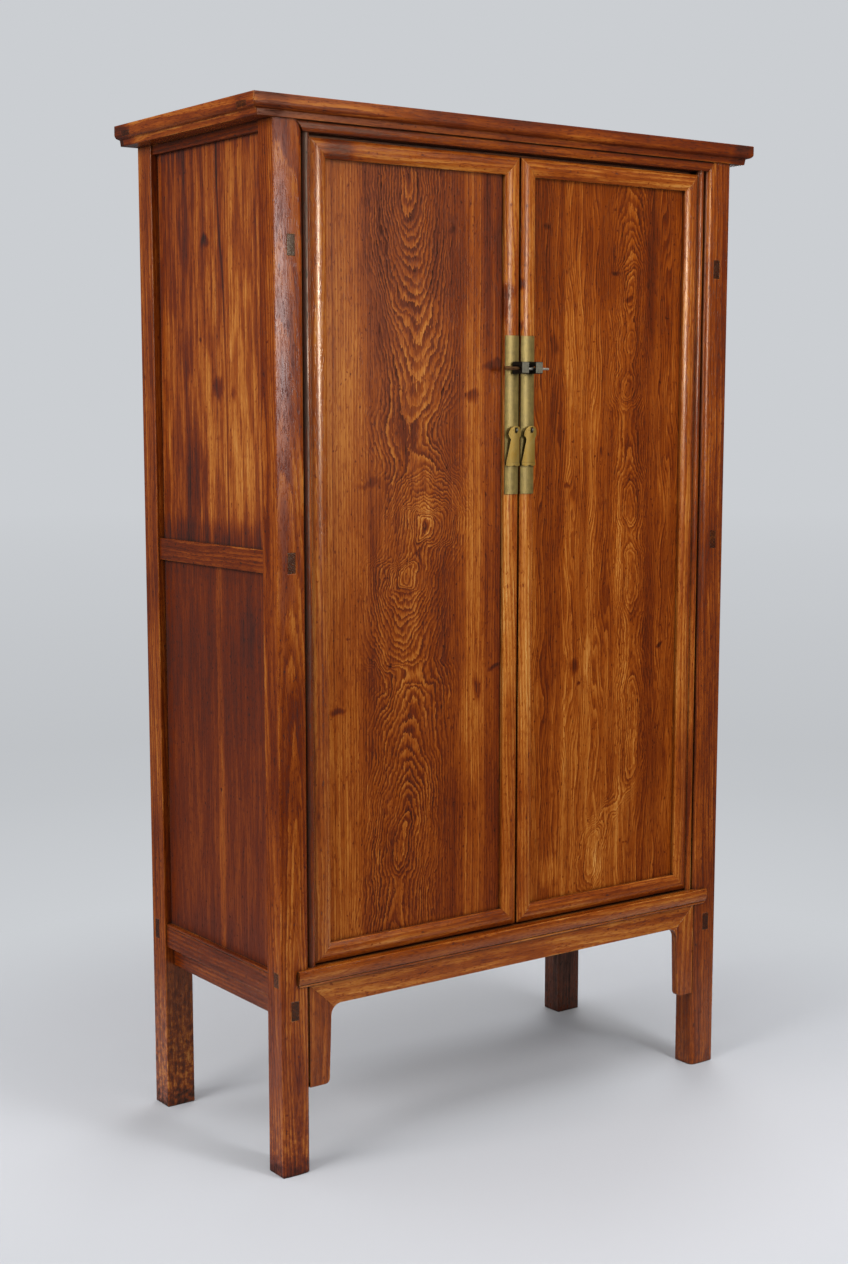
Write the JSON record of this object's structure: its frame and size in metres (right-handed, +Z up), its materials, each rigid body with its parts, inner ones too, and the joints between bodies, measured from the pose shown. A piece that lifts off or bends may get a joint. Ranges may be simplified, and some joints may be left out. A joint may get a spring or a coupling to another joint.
{
  "type": "wood-hinged cabinet",
  "caption": "Tall standing cabinet with mitred panel doors that turn on wooden pivots, moulded top, apron, brass face plates, forged eyes and a sliding lock pin.",
  "frame": {"origin": "on the floor, under the middle of the whole cabinet with its metal work", "axes": "+Z up, -Y out of the front, +X to the right seen from the front"},
  "size_m": [1.088, 0.4784, 1.775],
  "materials": {
    "elm_frame": "worn reddish-brown wax and old lacquer",
    "door_panel_elm": "waxed figured elm",
    "side_panel_elm": "waxed streaked elm",
    "inside_wood": "bare and dusty",
    "aged_brass": "dull olive patina, rubbed bright at the edges",
    "forged_iron": "black, forged",
    "bronze_pin": "brown patina",
    "steel_pin": "pale, rubbed"
  },
  "bodies": {
    "carcass": {"top_frame_front": "elm_frame", "top_frame_rear": "elm_frame", "left_top_frame": "elm_frame", "right_top_frame": "elm_frame", "top_panel": "elm_frame", "top_battens": "inside_wood", "left_front_post": "elm_frame", "right_front_post": "elm_frame", "left_rear_post": "elm_frame", "right_rear_post": "elm_frame", "front_top_rail": "elm_frame", "front_bottom_rail": "elm_frame", "front_apron": "elm_frame", "left_spandrel": "elm_frame", "right_spandrel": "elm_frame", "rear_top_rail": "elm_frame", "rear_mid_rail": "elm_frame", "rear_bottom_rail": "elm_frame", "rear_upper_panel": "inside_wood", "rear_lower_panel": "inside_wood", "floor_board": "inside_wood", "middle_shelf": "inside_wood", "upper_shelf": "inside_wood", "left_side_top_rail": "elm_frame", "left_side_mid_rail": "elm_frame", "left_side_bottom_rail": "elm_frame", "left_lower_stretcher": "elm_frame", "left_shelf_batten": "inside_wood", "left_upper_side_panel": "side_panel_elm", "left_lower_side_panel": "side_panel_elm", "right_side_top_rail": "elm_frame", "right_side_mid_rail": "elm_frame", "right_side_bottom_rail": "elm_frame", "right_lower_stretcher": "elm_frame", "right_shelf_batten": "inside_wood", "right_upper_side_panel": "side_panel_elm", "right_lower_side_panel": "side_panel_elm"},
    "left_door": {"left_door_pivot_stile": "elm_frame", "left_door_meeting_stile": "elm_frame", "left_door_top_rail": "elm_frame", "left_door_bottom_rail": "elm_frame", "left_door_panel": "door_panel_elm", "left_door_battens": "elm_frame", "left_face_plate": "aged_brass", "left_lock_eye": "forged_iron", "left_pull_stud": "forged_iron"},
    "right_door": {"right_door_pivot_stile": "elm_frame", "right_door_meeting_stile": "elm_frame", "right_door_top_rail": "elm_frame", "right_door_bottom_rail": "elm_frame", "right_door_panel": "door_panel_elm", "right_door_battens": "elm_frame", "right_face_plate": "aged_brass", "right_lock_eye": "forged_iron", "right_pull_stud": "forged_iron"},
    "left_pull": {"left_drop_pull": "aged_brass"},
    "right_pull": {"right_drop_pull": "aged_brass"},
    "pin_head": {"lock_pin_head": "bronze_pin"},
    "pin_tail": {"lock_pin_tail": "steel_pin"}
  },
  "joints": [
    {"name": "left_door_swing", "type": "hinge", "parent": "carcass", "child": "left_door", "pos_m": [-0.4345, -0.20335, 0.356], "axis": [0, 0, -1], "range_deg": [0, 100]},
    {"name": "right_door_swing", "type": "hinge", "parent": "carcass", "child": "right_door", "pos_m": [0.4345, -0.20335, 0.356], "axis": [0, 0, 1], "range_deg": [0, 100]},
    {"name": "left_pull_swing", "type": "hinge", "parent": "left_door", "child": "left_pull", "pos_m": [-0.0125, -0.21965, 1.251], "axis": [-1, 0, 0], "range_deg": [0, 45]},
    {"name": "right_pull_swing", "type": "hinge", "parent": "right_door", "child": "right_pull", "pos_m": [0.0225, -0.21965, 1.251], "axis": [-1, 0, 0], "range_deg": [0, 45]},
    {"name": "pin_head_slide", "type": "slide", "parent": "left_door", "child": "pin_head", "axis": [-1, 0, 0], "range_m": [0, 0.03]},
    {"name": "pin_tail_slide", "type": "slide", "parent": "right_door", "child": "pin_tail", "axis": [1, 0, 0], "range_m": [0, 0.03]}
  ]
}
